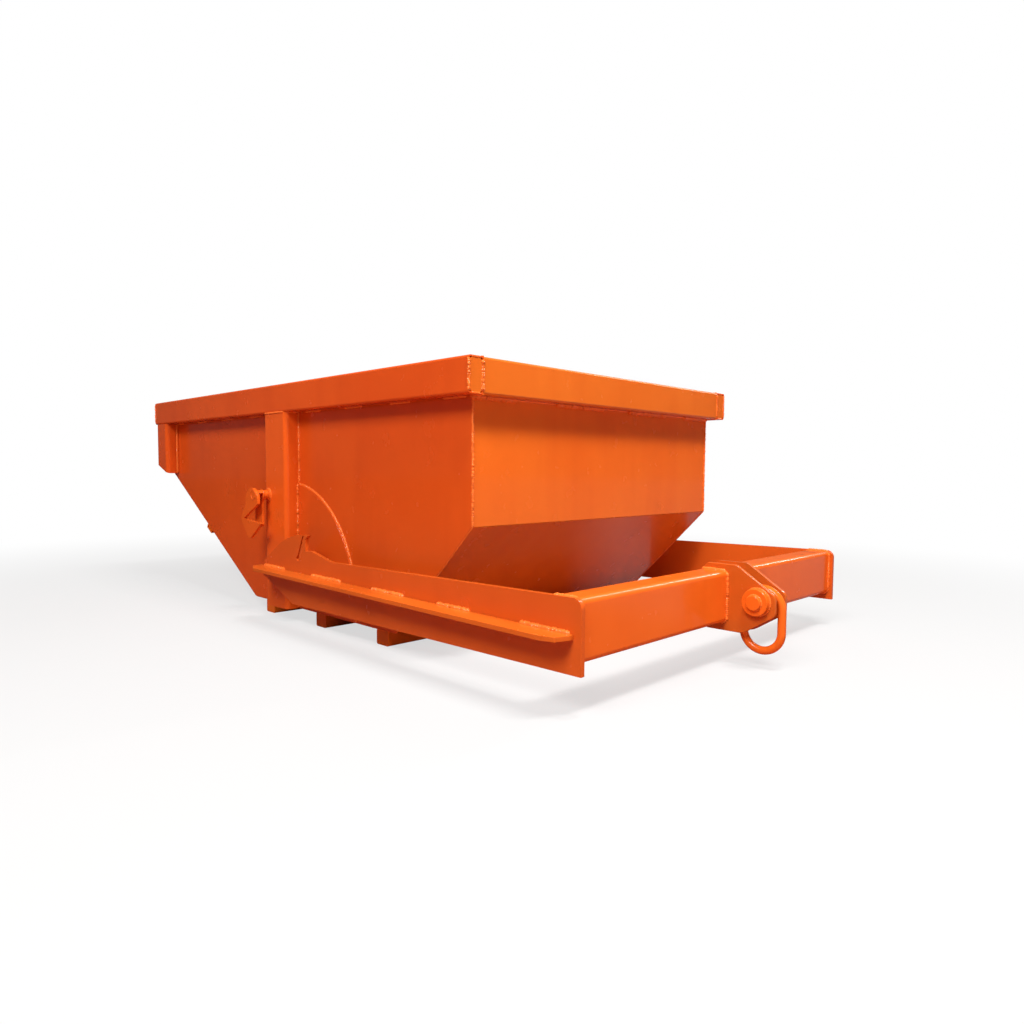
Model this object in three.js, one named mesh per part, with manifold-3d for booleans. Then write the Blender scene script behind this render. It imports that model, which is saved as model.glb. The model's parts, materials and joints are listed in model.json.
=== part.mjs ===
// Self-dumping crane bin: a welded hopper with a tube rim, on three skids, that hangs in a swinging yoke.
// The yoke turns on a pin on each side of the hopper and ends in a cross beam with a lifting ring.
// A turning latch shaft on each side catches a hook on the yoke arm while the yoke stands upright,
// and lets it go when its claw is pulled, so that the load tips out over the low front edge.
import * as THREE from "three";
import { mergeVertices } from "three/addons/utils/BufferGeometryUtils.js";
import Module from "manifold-3d";

const wasm = await Module();
wasm.setup();

// Lengths are in millimetres. x runs from the front face of the rim to the lifting ring,
// y across the bin with 0 in its middle, and z up from the ground.
// Left is the side of +y, and right is its mirror image.

// Fits
const seatGap = 0.3;
const shaftGap = 0.1;
const overrun = 20;

// Rim of rectangular tube
const overallHeight = 1024;
const rimLength = 2640;
const rimWidth = 1600;
const rimTubeWidth = 65;
const rimTubeHeight = 120;
const rimWall = 5;
const rimCornerRadius = 9;
const rimCapThickness = 6;
const rimCapInset = 1;
const rimCapCornerCut = 9;

// Hopper plates
const plateThickness = 6;
const skidHeight = 58;
const baseFront = 1057;
const baseLength = 1110;
const lipSetback = 17;
const lipFoldHeight = 674;
const wallSetback = 56;
const wallFoldHeight = 476;
const sidePlateDrop = 10;

// Skids and the stiffener below the front slope
const skidWidth = 75;
const skidWall = 5;
const skidCornerRadius = 8;
const skidPitch = 440;
const skidRearInset = 80;
const stiffenerWidth = 60;
const stiffenerDepth = 22;
const stiffenerWall = 4;
const stiffenerCornerRadius = 5;
const stiffenerPlaceShare = 0.485;

// Posts on the hopper sides
const frontPostWidth = 140;
const frontPostSetback = 14;
const frontPostHighEnd = 683;
const frontPostLowEnd = 632;
const frontPostCornerRadius = 20;
const sidePostPlace = 1384;
const sidePostWidth = 190;
const sidePostWall = 6;
const sidePostCornerRadius = 20;
const doublerThickness = 8;
const doublerRadius = 485;
const doublerForward = 32;
const doublerDrop = 118;

// Pivot of the yoke
const pivotAft = 74;
const pivotHeight = 232;
const pivotPinRadius = 30;
const pivotBossRadius = 48;
const pivotFlangeThickness = 9;
const pivotWasherThickness = 8;
const pivotPinEndGap = 5;

// Yoke arm, as an outline from the pivot: forward of it is the nose, aft of it the hook and the beam
const yokeReach = 1780;
const armClearance = 38;
const armThickness = 15;
const armNoseLength = 83;
const armNoseRake = 11;
const armNoseRise = 38;
const armNoseDrop = 26;
const armKeelStart = 167;
const armKeelDrop = 123;
const armEndDrop = 113;
const armShoulder = 461;
const armShoulderRise = 78;
const armEndRise = 98;
const armEndRadius = 30;
const armTail = 17;
const armBellyShares = [0.4, 0.667];
const armHumpShares = [
  [0.647, 0.976],
  [0.42, 0.874],
  [0.227, 0.73],
];

// Hook of the arm, round the place where the latch shaft stands when the yoke is upright
const hookClearance = 3.5;
const hookTipLead = 42;
const hookNotchDepth = 42;
const hookNotchRise = 20;
const hookFloorDrop = 27;
const hookFloorClearance = 5;
const reliefSlotWidth = 9;
const reliefHoleRadius = 10;
const reliefHoleShares = [0.67, 0.42];
const reliefMouthShares = [0.815, 1];

// Flat bar on the outer face of each arm
const flangeWidth = 75;
const flangeThickness = 15;
const flangeFront = 92;
const flangeEndSetback = 27;
const flangeRise = 15;
const flangeFall = 17;
const flangeFrontCutLength = 68;
const flangeFrontCutWidth = 32;
const flangeRearCut = 30;

// Cross beam, lug plates, pin and ring
const beamWidth = 100;
const beamHeight = 180;
const beamWall = 8;
const beamCornerRadius = 18;
const beamRise = 4;
const beamToPin = 159;
const lugSpan = 62;
const lugThickness = 14;
const lugNoseLength = 63;
const lugRise = 117;
const lugDrop = 114;
const lugHeelSetback = 25;
const lugTopFlat = 32;
const lugNoseRise = 25;
const lugNoseDrop = 42;
const lugKeelSetback = 159;
const lugNoseRadius = 35;
const lugChinRadius = 22;
const lugKeelRadius = 40;
const lugBossRadius = 45;
const lugBossThickness = 22;
const liftPinRadius = 25.5;
const liftPinProud = 12;
const liftPinBevel = 2;
const ringWidth = 162;
const ringHeight = 238;
const ringBarRadius = 14;

// Latch shaft with its claw and cheek
const latchForward = 58;
const latchHeight = 549;
const latchShaftRadius = 20;
const latchCollarRadius = 26;
const latchCollarProud = 8;
const latchKeeperThickness = 8;
const latchArmClearance = 4.5;
const clawThickness = 13;
const clawHeadRadius = 57;
const clawHeadForward = 18;
const clawHeadDrop = 27;
const clawHeadFrom = 195;
const clawHeadTo = -12;
const clawMouthDepth = 93;
const clawMouthDrop = 106;
const clawJawReach = 67;
const clawJawDrop = 122;
const clawTipForward = 30;
const clawTipDrop = 190;
const clawTipWidth = 22;
const clawBack = 124;
const clawBackRadius = 24;
const cheekThickness = 11;
const cheekSetIn = 6;
const cheekAft = 3;
const cheekForward = 62;
const cheekLength = 140;
const cheekCornerRadius = 12;

// Counts
const roundSteps = 32;
const largeRoundSteps = 128;
const ringSteps = 30;
const ringSides = 12;

// Places worked out from the sizes above
const rimUnderside = overallHeight - rimTubeHeight;
const underRim = rimUnderside - seatGap;
const rimInnerY = rimWidth / 2 - rimTubeWidth;
const sideOuterY = rimInnerY - seatGap;
const sideInnerY = sideOuterY - plateThickness;
const baseHeight = skidHeight + seatGap;
const baseRear = baseFront + baseLength;
const wallRear = rimLength - wallSetback;
const pivotX = sidePostPlace + pivotAft;
const latchX = sidePostPlace - latchForward;
const armInnerY = rimWidth / 2 + armClearance;
const armOuterY = armInnerY + armThickness;
const lockX = latchHeight - pivotHeight;
const lockZ = pivotX - latchX;
const lockRadius = Math.hypot(lockX, lockZ);
const tipRadius = lockRadius - hookClearance;
const tipAngle = Math.atan2(lockZ, lockX) + hookTipLead / lockRadius;
const tipX = tipRadius * Math.cos(tipAngle);
const tipZ = tipRadius * Math.sin(tipAngle);
const beamX = yokeReach - beamToPin;
const beamRearX = beamX + beamWidth / 2;
const armEnd = beamRearX + armTail;
const pinFlangeInY = armInnerY - seatGap - pivotFlangeThickness;
const washerInY = pinFlangeInY - seatGap - pivotWasherThickness;
const bossEndY = washerInY - seatGap;
const lugOuterY = lugSpan / 2 + lugThickness;
const lugBossEndY = lugOuterY + seatGap + lugBossThickness;
const liftPinEndY = lugBossEndY + liftPinProud;
const ringDrop = liftPinRadius + seatGap + 2 * ringBarRadius - ringHeight / 2;
const clawInnerY = armOuterY + latchArmClearance;
const clawOuterY = clawInnerY + clawThickness;
const cheekOuterY = armInnerY - cheekSetIn;
const collarOuterY = rimWidth / 2 + latchCollarProud;
const keeperInY = sideOuterY + seatGap;
const collarInY = keeperInY + latchKeeperThickness + seatGap;
const slopeAngle = Math.atan2(lipFoldHeight - baseHeight, baseFront - lipSetback);
const overallLength = pivotX + yokeReach + ringWidth / 2;

// Colours of the sprayed enamel
const sideOrange = "#cf501c";
const plateOrange = "#c9481b";
const rimOrange = "#d6551f";
const yokeOrange = "#d95a20";
const beamOrange = "#e56a26";
const latchOrange = "#d4581f";

// Shapes

// Points of a closed outline through corners [a, b, radius], each rounded by its own radius.
function rounded(corners) {
  const count = corners.length;
  return corners.flatMap(([a, b, radius = 0], i) => {
    const corner = new THREE.Vector2(a, b);
    if (!radius) return [corner];
    const back = new THREE.Vector2(...corners[(i + count - 1) % count]).sub(corner).normalize();
    const ahead = new THREE.Vector2(...corners[(i + 1) % count]).sub(corner).normalize();
    const half = Math.acos(back.dot(ahead)) / 2;
    const middle = back.clone().add(ahead).normalize();
    const centre = corner.clone().addScaledVector(middle, radius / Math.sin(half));
    const start = corner.clone().addScaledVector(back, radius / Math.tan(half)).sub(centre);
    const turn = Math.sign(ahead.cross(back)) * (Math.PI - 2 * half);
    const steps = Math.max(1, Math.round((Math.abs(turn) / (2 * Math.PI)) * roundSteps));
    return Array.from({ length: steps + 1 }, (_, k) =>
      start.clone().rotateAround(new THREE.Vector2(), (turn * k) / steps).add(centre),
    );
  });
}

// Points of an arc round [a, b], with its angles in degrees.
function arc(a, b, radius, from, to, fullSteps = roundSteps) {
  const steps = Math.ceil((Math.abs(to - from) / 360) * fullSteps);
  return Array.from({ length: steps + 1 }, (_, k) => {
    const angle = THREE.MathUtils.degToRad(from + ((to - from) * k) / steps);
    return new THREE.Vector2(a + radius * Math.cos(angle), b + radius * Math.sin(angle));
  });
}

// A hole made of flat facets lies wholly outside the round rod that passes through it.
function holeRadius(rodRadius, gap) {
  return (rodRadius + gap) / Math.cos(Math.PI / roundSteps);
}

function box(a0, b0, a1, b1, radius = 0) {
  return [[a0, b0, radius], [a1, b0, radius], [a1, b1, radius], [a0, b1, radius]];
}

function tubeSection(a0, b0, a1, b1, wall, radius) {
  const shape = new THREE.Shape(rounded(box(a0, b0, a1, b1, radius)));
  const inner = box(a0 + wall, b0 + wall, a1 - wall, b1 - wall, Math.max(radius - wall, wall / 4));
  shape.holes.push(new THREE.Path(rounded(inner).reverse()));
  return shape;
}

function extruded(shape, depth) {
  return new THREE.ExtrudeGeometry(shape, { depth, bevelEnabled: false });
}

// From a section in x and z, a bar across the bin.
function across(shape, y0, y1) {
  return extruded(shape, y1 - y0).rotateX(Math.PI / 2).translate(0, y1, 0);
}

// From a section in y and z, a bar along the bin.
function along(shape, x0, x1) {
  const lengthwise = new THREE.Matrix4().makeBasis(
    new THREE.Vector3(0, 1, 0),
    new THREE.Vector3(0, 0, 1),
    new THREE.Vector3(1, 0, 0),
  );
  return extruded(shape, x1 - x0).applyMatrix4(lengthwise).translate(x0, 0, 0);
}

// From a section in x and y, an upright bar.
function upward(shape, z0, z1) {
  return extruded(shape, z1 - z0).translate(0, 0, z0);
}

// A round solid about the y axis, from a profile of [radius, y].
function turned(profile) {
  const points = profile.map(([radius, y]) => new THREE.Vector2(radius, y));
  return new THREE.LatheGeometry(points, roundSteps);
}

function rod(radius, y0, y1) {
  return turned([[0, y0], [radius, y0], [radius, y1], [0, y1]]);
}

function sleeve(inner, outer, y0, y1) {
  return turned([[inner, y0], [outer, y0], [outer, y1], [inner, y1], [inner, y0]]);
}

function toSolid(geometry) {
  const bare = geometry.clone();
  bare.deleteAttribute("normal");
  bare.deleteAttribute("uv");
  const merged = mergeVertices(bare);
  const vertProperties = merged.getAttribute("position").array;
  const triVerts = new Uint32Array(merged.index.array);
  return new wasm.Manifold(new wasm.Mesh({ numProp: 3, vertProperties, triVerts }));
}

function toGeometry(solid) {
  const { vertProperties, triVerts } = solid.getMesh();
  const geometry = new THREE.BufferGeometry();
  geometry.setAttribute("position", new THREE.BufferAttribute(vertProperties, 3));
  geometry.setIndex(new THREE.BufferAttribute(triVerts, 1));
  geometry.computeVertexNormals();
  return geometry;
}

function cut(geometry, ...tools) {
  return toGeometry(tools.reduce((solid, tool) => solid.subtract(toSolid(tool)), toSolid(geometry)));
}

function piece(name, geometry, colour) {
  const material = new THREE.MeshStandardMaterial({ color: colour, roughness: 0.35, metalness: 0 });
  const mesh = new THREE.Mesh(geometry, material);
  mesh.name = name;
  return mesh;
}

// Hopper

// Outer corners of the folded skin, from the top of the front lip to the top of the rear wall.
const skinCorners = [
  [lipSetback, underRim],
  [lipSetback, lipFoldHeight],
  [baseFront, baseHeight],
  [baseRear, baseHeight],
  [wallRear, wallFoldHeight],
  [wallRear, underRim],
].map(([x, z]) => new THREE.Vector2(x, z));

// The same corners on the inner face of the skin.
const skinInnerCorners = skinCorners.map((corner, i) => {
  const directions = [[i - 1, i], [i, i + 1]]
    .filter(([from, to]) => skinCorners[from] && skinCorners[to])
    .map(([from, to]) => skinCorners[to].clone().sub(skinCorners[from]).normalize());
  const inward = directions.map((d) => new THREE.Vector2(-d.y, d.x));
  const middle = inward.reduce((sum, d) => sum.clone().add(d)).normalize();
  return corner.clone().addScaledVector(middle, plateThickness / middle.dot(inward[0]));
});

function skinPlate(index) {
  const direction = skinCorners[index + 1].clone().sub(skinCorners[index]).normalize();
  const nearEnd = (p) => p.clone().addScaledVector(direction, seatGap);
  const farEnd = (p) => p.clone().addScaledVector(direction, -seatGap);
  const section = new THREE.Shape([
    nearEnd(skinCorners[index]),
    farEnd(skinCorners[index + 1]),
    farEnd(skinInnerCorners[index + 1]),
    nearEnd(skinInnerCorners[index]),
  ]);
  return across(section, seatGap - sideInnerY, sideInnerY - seatGap);
}

function hopperSkin() {
  const names = ["front_lip_plate", "front_slope_plate", "base_plate", "rear_slope_plate", "rear_wall"];
  return names.map((name, i) => piece(name, skinPlate(i), plateOrange));
}

// The side plate closes the skin and laps the inner face of the rim.
function sidePlate() {
  const lapFront = rimTubeWidth + seatGap;
  const lapRear = rimLength - rimTubeWidth - seatGap;
  const lapTop = overallHeight - sidePlateDrop;
  const lap = [[lapRear, underRim], [lapRear, lapTop], [lapFront, lapTop], [lapFront, underRim]];
  const corners = lap.map(([x, z]) => new THREE.Vector2(x, z));
  return across(new THREE.Shape([...skinCorners, ...corners]), sideInnerY, sideOuterY);
}

// The skids lie at an even pitch, counted from the rear one.
function skid(stepsFromRear) {
  const middle = baseRear - skidRearInset - skidPitch * stepsFromRear;
  const from = middle - skidWidth / 2;
  const section = tubeSection(from, 0, from + skidWidth, skidHeight, skidWall, skidCornerRadius);
  return across(section, -sideOuterY, sideOuterY);
}

function slopeStiffener() {
  const foot = new THREE.Vector2(baseFront, baseHeight);
  const top = new THREE.Vector2(lipSetback, lipFoldHeight);
  const place = foot.lerp(top, stiffenerPlaceShare);
  const half = stiffenerWidth / 2;
  const under = -seatGap - stiffenerDepth;
  const section = tubeSection(-half, under, half, -seatGap, stiffenerWall, stiffenerCornerRadius);
  return across(section, -sideOuterY, sideOuterY).rotateY(slopeAngle).translate(place.x, 0, place.y);
}

// Rim

function rimSide() {
  const section = tubeSection(
    rimInnerY, rimUnderside, rimWidth / 2, overallHeight, rimWall, rimCornerRadius,
  );
  return along(section, 0, rimLength);
}

function rimCross(x0) {
  const section = tubeSection(
    x0, rimUnderside, x0 + rimTubeWidth, overallHeight, rimWall, rimCornerRadius,
  );
  return across(section, seatGap - rimInnerY, rimInnerY - seatGap);
}

// A plate set in the end of the side tube, with its corners cut off.
function rimCap(x0) {
  const inset = rimWall + seatGap;
  const y0 = rimInnerY + inset;
  const y1 = rimWidth / 2 - inset;
  const z0 = rimUnderside + inset;
  const z1 = overallHeight - inset;
  const c = rimCapCornerCut;
  const corners = [
    [y0 + c, z0], [y1 - c, z0], [y1, z0 + c], [y1, z1 - c],
    [y1 - c, z1], [y0 + c, z1], [y0, z1 - c], [y0, z0 + c],
  ];
  return along(new THREE.Shape(rounded(corners)), x0, x0 + rimCapThickness);
}

// Posts

function frontPost() {
  const front = frontPostSetback;
  const rear = front + frontPostWidth;
  const fall = (frontPostHighEnd - frontPostLowEnd) / frontPostWidth;
  const section = tubeSection(
    front, rimInnerY, rear, rimWidth / 2, rimWall, frontPostCornerRadius,
  );
  const below = new THREE.Shape(rounded([
    [front - overrun, frontPostLowEnd - overrun],
    [rear + overrun, frontPostLowEnd - overrun],
    [rear + overrun, frontPostLowEnd - fall * overrun],
    [front - overrun, frontPostHighEnd + fall * overrun],
  ]));
  const foot = frontPostLowEnd - overrun / 2;
  return cut(
    upward(section, foot, underRim),
    across(below, rimInnerY - overrun, rimWidth / 2 + overrun),
  );
}

// A pressed channel with its legs on the side plate, bored for the pivot boss and the latch collar.
function sidePost() {
  const front = sidePostPlace - sidePostWidth / 2;
  const rear = sidePostPlace + sidePostWidth / 2;
  const outer = rimWidth / 2;
  const innerRadius = sidePostCornerRadius - sidePostWall;
  const section = new THREE.Shape(rounded([
    [front, rimInnerY],
    [front + sidePostWall, rimInnerY],
    [front + sidePostWall, outer - sidePostWall, innerRadius],
    [rear - sidePostWall, outer - sidePostWall, innerRadius],
    [rear - sidePostWall, rimInnerY],
    [rear, rimInnerY],
    [rear, outer, sidePostCornerRadius],
    [front, outer, sidePostCornerRadius],
  ]));
  const bossBore = rod(holeRadius(pivotBossRadius, seatGap), rimInnerY - overrun, outer + overrun);
  const collarBore = rod(holeRadius(latchCollarRadius, seatGap), rimInnerY - overrun, outer + overrun);
  return cut(
    upward(section, baseHeight, underRim),
    bossBore.translate(pivotX, 0, pivotHeight),
    collarBore.translate(latchX, 0, latchHeight),
  );
}

// A doubling plate that spreads the load of the pivot, round on its free side.
function pivotDoubler() {
  const edge = sidePostPlace + sidePostWidth / 2 + seatGap;
  const centreX = pivotX - doublerForward;
  const centreZ = pivotHeight - doublerDrop;
  const lowAngle = THREE.MathUtils.radToDeg(Math.asin((baseHeight - centreZ) / doublerRadius));
  const highAngle = THREE.MathUtils.radToDeg(Math.acos((edge - centreX) / doublerRadius));
  const curve = arc(centreX, centreZ, doublerRadius, lowAngle, highAngle, largeRoundSteps);
  const shape = new THREE.Shape([new THREE.Vector2(edge, baseHeight), ...curve]);
  const bore = rod(holeRadius(pivotBossRadius, seatGap), rimInnerY - overrun, rimWidth / 2);
  return cut(
    across(shape, rimInnerY, rimInnerY + doublerThickness),
    bore.translate(pivotX, 0, pivotHeight),
  );
}

// Pivot pieces, about the pivot axis

function pivotBoss() {
  return sleeve(holeRadius(pivotPinRadius, shaftGap), pivotBossRadius, rimInnerY, bossEndY);
}

function pivotWasher() {
  const inner = holeRadius(pivotPinRadius, shaftGap);
  return sleeve(inner, pivotBossRadius, washerInY, washerInY + pivotWasherThickness);
}

// The pin's flange is welded to the inner face of the arm.
function pivotPin() {
  return turned([
    [0, rimInnerY + pivotPinEndGap],
    [pivotPinRadius, rimInnerY + pivotPinEndGap],
    [pivotPinRadius, pinFlangeInY],
    [pivotBossRadius, pinFlangeInY],
    [pivotBossRadius, armInnerY - seatGap],
    [0, armInnerY - seatGap],
  ]);
}

// Yoke, about the pivot

function armOutline() {
  const hump = armHumpShares.map(([alongShare, riseShare]) => [lockX * alongShare, tipZ * riseShare]);
  const [bellyShare, bellyDropShare] = armBellyShares;
  return rounded([
    [-armNoseLength, -armNoseDrop],
    [armKeelStart * bellyShare, -armKeelDrop * bellyDropShare],
    [armKeelStart, -armKeelDrop],
    [armEnd, -armEndDrop],
    [armEnd, armEndRise, armEndRadius],
    [armShoulder, armShoulderRise],
    [lockX + hookFloorClearance, lockZ - latchShaftRadius - hookFloorClearance],
    [lockX - hookNotchDepth, lockZ - hookFloorDrop],
    [lockX - hookNotchDepth, lockZ + hookNotchRise],
    [tipX, tipZ],
    ...hump,
    [-armNoseLength + armNoseRake, armNoseRise],
  ]);
}

// A slanting slot from a drilled hole to the top of the hump.
function reliefSlot() {
  const [holeAlong, holeUp] = reliefHoleShares;
  const [mouthAlong, mouthUp] = reliefMouthShares;
  const end = new THREE.Vector2(lockX * holeAlong, tipZ * holeUp);
  const mouth = new THREE.Vector2(lockX * mouthAlong, tipZ * mouthUp);
  const run = mouth.clone().sub(end);
  const half = reliefSlotWidth / 2;
  const strip = new THREE.Shape(rounded(box(0, -half, run.length() + overrun, half)));
  const y0 = armInnerY - overrun;
  const y1 = armOuterY + overrun;
  const slot = across(strip, y0, y1).rotateY(-run.angle()).translate(end.x, 0, end.y);
  return [slot, rod(reliefHoleRadius, y0, y1).translate(end.x, 0, end.y)];
}

function yokeArm() {
  const plate = across(new THREE.Shape(armOutline()), armInnerY, armOuterY);
  return cut(plate, ...reliefSlot());
}

function armFlangeBar() {
  const inner = armOuterY + seatGap;
  const outer = inner + flangeWidth;
  const rear = armEnd - flangeEndSetback;
  const tilt = Math.asin(flangeFall / (rear + flangeFront));
  const plan = new THREE.Shape(rounded([
    [-flangeFront, inner],
    [rear, inner],
    [rear, outer - 2 * flangeRearCut],
    [rear - flangeRearCut / 2, outer - flangeRearCut / 2],
    [rear - 2 * flangeRearCut, outer],
    [flangeFrontCutLength - flangeFront, outer],
    [-flangeFront, outer - flangeFrontCutWidth],
  ]));
  return upward(plan, -flangeThickness, 0).rotateY(tilt).translate(0, 0, flangeRise);
}

function crossBeam() {
  const half = beamWidth / 2;
  const section = tubeSection(
    beamX - half, beamRise - beamHeight / 2, beamX + half, beamRise + beamHeight / 2,
    beamWall, beamCornerRadius,
  );
  return across(section, seatGap - armInnerY, armInnerY - seatGap);
}

// A lug plate grips the beam from the rear and carries the lifting pin.
function lugPlate() {
  const heel = yokeReach - beamToPin - beamWidth / 2;
  const top = beamRise + beamHeight / 2;
  const bottom = beamRise - beamHeight / 2;
  const outline = new THREE.Shape(rounded([
    [heel, top],
    [heel, bottom],
    [heel + lugHeelSetback, -lugDrop],
    [heel + lugKeelSetback, -lugDrop, lugKeelRadius],
    [yokeReach + lugNoseLength, -lugNoseDrop, lugChinRadius],
    [yokeReach + lugNoseLength, lugNoseRise, lugNoseRadius],
    [beamRearX + lugTopFlat, lugRise],
    [heel + lugHeelSetback, lugRise],
  ]));
  const socket = new THREE.Shape(rounded([
    [heel - overrun, bottom - seatGap],
    [beamRearX + seatGap, bottom - seatGap, beamCornerRadius],
    [beamRearX + seatGap, top + seatGap, beamCornerRadius],
    [heel - overrun, top + seatGap],
  ]));
  const y0 = lugSpan / 2;
  const bore = rod(holeRadius(liftPinRadius, seatGap), y0 - overrun, lugOuterY + overrun);
  return cut(
    across(outline, y0, lugOuterY),
    across(socket, y0 - overrun, lugOuterY + overrun),
    bore.translate(yokeReach, 0, 0),
  );
}

function lugBoss() {
  const inner = holeRadius(liftPinRadius, seatGap);
  return sleeve(inner, lugBossRadius, lugOuterY + seatGap, lugBossEndY);
}

function liftPin() {
  const bevelled = liftPinRadius - liftPinBevel;
  return turned([
    [0, -liftPinEndY],
    [bevelled, -liftPinEndY],
    [liftPinRadius, liftPinBevel - liftPinEndY],
    [liftPinRadius, liftPinEndY - liftPinBevel],
    [bevelled, liftPinEndY],
    [0, liftPinEndY],
  ]);
}

// An oblong ring of round bar that hangs on the lifting pin, about the pin's axis.
function liftRing() {
  const bend = ringWidth / 2 - ringBarRadius;
  const straight = ringHeight / 2 - ringWidth / 2;
  const half = ringSteps / 2;
  const path = Array.from({ length: ringSteps }, (_, k) => {
    const angle = (Math.PI * (k % half)) / (half - 1) + (k < half ? 0 : Math.PI);
    const shift = k < half ? straight : -straight;
    return new THREE.Vector3(bend * Math.cos(angle), 0, bend * Math.sin(angle) + shift);
  });
  const sideways = new THREE.Vector3(0, 1, 0);
  const positions = path.flatMap((centre, k) => {
    const next = path[(k + 1) % ringSteps];
    const last = path[(k + ringSteps - 1) % ringSteps];
    const outward = next.clone().sub(last).cross(sideways).normalize();
    return Array.from({ length: ringSides }, (_, j) => {
      const angle = (2 * Math.PI * j) / ringSides;
      return centre.clone()
        .addScaledVector(outward, ringBarRadius * Math.cos(angle))
        .addScaledVector(sideways, ringBarRadius * Math.sin(angle));
    });
  });
  const index = path.flatMap((_, k) => Array.from({ length: ringSides }, (__, j) => {
    const here = k * ringSides;
    const there = ((k + 1) % ringSteps) * ringSides;
    const side = (j + 1) % ringSides;
    return [here + j, there + side, here + side, here + j, there + j, there + side];
  }).flat());
  const geometry = new THREE.BufferGeometry().setFromPoints(positions);
  geometry.setIndex(index);
  geometry.computeVertexNormals();
  return geometry.translate(0, 0, ringDrop);
}

// Latch, about the axis of its shaft

// The shaft is cut to half its section where the arm passes, with the flat turned to the pivot.
function latchShaft() {
  const notchLow = armInnerY - latchArmClearance;
  const notchHigh = armOuterY + latchArmClearance - seatGap;
  const reach = latchShaftRadius + overrun;
  const half = new THREE.Shape(rounded(box(0, -reach, reach, reach)));
  const toPivot = Math.atan2(lockX, -lockZ) + Math.PI;
  return cut(
    rod(latchShaftRadius, keeperInY, clawOuterY),
    across(half, notchLow, notchHigh).rotateY(-toPivot),
  );
}

function latchKeeper() {
  const inner = holeRadius(latchShaftRadius, seatGap);
  return sleeve(inner, latchCollarRadius, keeperInY, keeperInY + latchKeeperThickness);
}

function latchCollar() {
  return sleeve(holeRadius(latchShaftRadius, shaftGap), latchCollarRadius, collarInY, collarOuterY);
}

// A claw plate with a round head on the shaft and a mouth that opens aft.
function latchClaw() {
  const head = arc(-clawHeadForward, -clawHeadDrop, clawHeadRadius, clawHeadFrom, clawHeadTo);
  const outline = rounded([
    ...head.map(({ x, y }) => [x, y]),
    [-clawMouthDepth, -clawMouthDrop],
    [clawJawReach, -clawJawDrop],
    [-clawTipForward, -clawTipDrop],
    [-clawTipForward - clawTipWidth, -clawTipDrop],
    [-clawBack, -clawMouthDrop, clawBackRadius],
  ]);
  const plate = across(new THREE.Shape(outline), clawInnerY, clawOuterY);
  const bore = rod(holeRadius(latchShaftRadius, seatGap), clawInnerY - overrun, clawOuterY + overrun);
  return cut(plate, bore);
}

// A strap that hangs from the shaft behind the claw.
function latchCheek() {
  const corners = [
    [-cheekForward, -cheekLength, cheekCornerRadius],
    [cheekAft, -cheekLength, cheekCornerRadius],
    [cheekAft, 0],
    [-cheekForward, 0, cheekCornerRadius],
  ];
  const y0 = cheekOuterY - cheekThickness;
  const strap = across(new THREE.Shape(rounded(corners)), y0, cheekOuterY);
  return cut(strap, rod(holeRadius(latchShaftRadius, seatGap), y0 - overrun, cheekOuterY + overrun));
}

// Assembly

function groupAt(x, z, ...members) {
  const group = new THREE.Group();
  group.position.set(x, 0, z);
  group.add(...members);
  return group;
}

// Everything that the hopper and the yoke carry on one side, drawn on the left.
function sidePieces(side) {
  const group = new THREE.Group();
  group.add(
    piece(`side_plate_${side}`, sidePlate(), sideOrange),
    piece(`rim_side_${side}`, rimSide(), rimOrange),
    piece(`rim_cap_front_${side}`, rimCap(rimCapInset), rimOrange),
    piece(`rim_cap_rear_${side}`, rimCap(rimLength - rimCapInset - rimCapThickness), rimOrange),
    piece(`front_post_${side}`, frontPost(), sideOrange),
    piece(`side_post_${side}`, sidePost(), sideOrange),
    piece(`pivot_doubler_${side}`, pivotDoubler(), sideOrange),
    groupAt(
      pivotX, pivotHeight,
      piece(`pivot_boss_${side}`, pivotBoss(), sideOrange),
      piece(`pivot_washer_${side}`, pivotWasher(), sideOrange),
      piece(`pivot_pin_${side}`, pivotPin(), yokeOrange),
      piece(`yoke_arm_${side}`, yokeArm(), yokeOrange),
      piece(`arm_flange_bar_${side}`, armFlangeBar(), yokeOrange),
      piece(`lug_plate_${side}`, lugPlate(), beamOrange),
      groupAt(yokeReach, 0, piece(`lug_boss_${side}`, lugBoss(), beamOrange)),
    ),
    groupAt(
      latchX, latchHeight,
      piece(`latch_collar_${side}`, latchCollar(), latchOrange),
      piece(`latch_keeper_${side}`, latchKeeper(), latchOrange),
      piece(`latch_shaft_${side}`, latchShaft(), latchOrange),
      piece(`latch_claw_${side}`, latchClaw(), latchOrange),
      piece(`latch_cheek_${side}`, latchCheek(), latchOrange),
    ),
  );
  return group;
}

const left = sidePieces("left");
const right = sidePieces("right");
right.scale.y = -1;

const skidNames = ["skid_rear", "skid_middle", "skid_front"];

const bin = new THREE.Group();
bin.add(
  ...hopperSkin(),
  ...skidNames.map((name, i) => piece(name, skid(i), plateOrange)),
  piece("slope_stiffener", slopeStiffener(), plateOrange),
  piece("rim_front", rimCross(0), rimOrange),
  piece("rim_rear", rimCross(rimLength - rimTubeWidth), rimOrange),
  left,
  right,
  groupAt(
    pivotX, pivotHeight,
    piece("cross_beam", crossBeam(), beamOrange),
    groupAt(
      yokeReach, 0,
      piece("lifting_pin", liftPin(), beamOrange),
      piece("lifting_ring", liftRing(), beamOrange),
    ),
  ),
);

// The origin lies on the ground, in the middle of the overall length.
bin.position.x = -overallLength / 2;
const model = new THREE.Group();
model.add(bin);

export default model;
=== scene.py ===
import json
import math
import random

import bmesh
import bpy
from mathutils import Matrix, Vector


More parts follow.
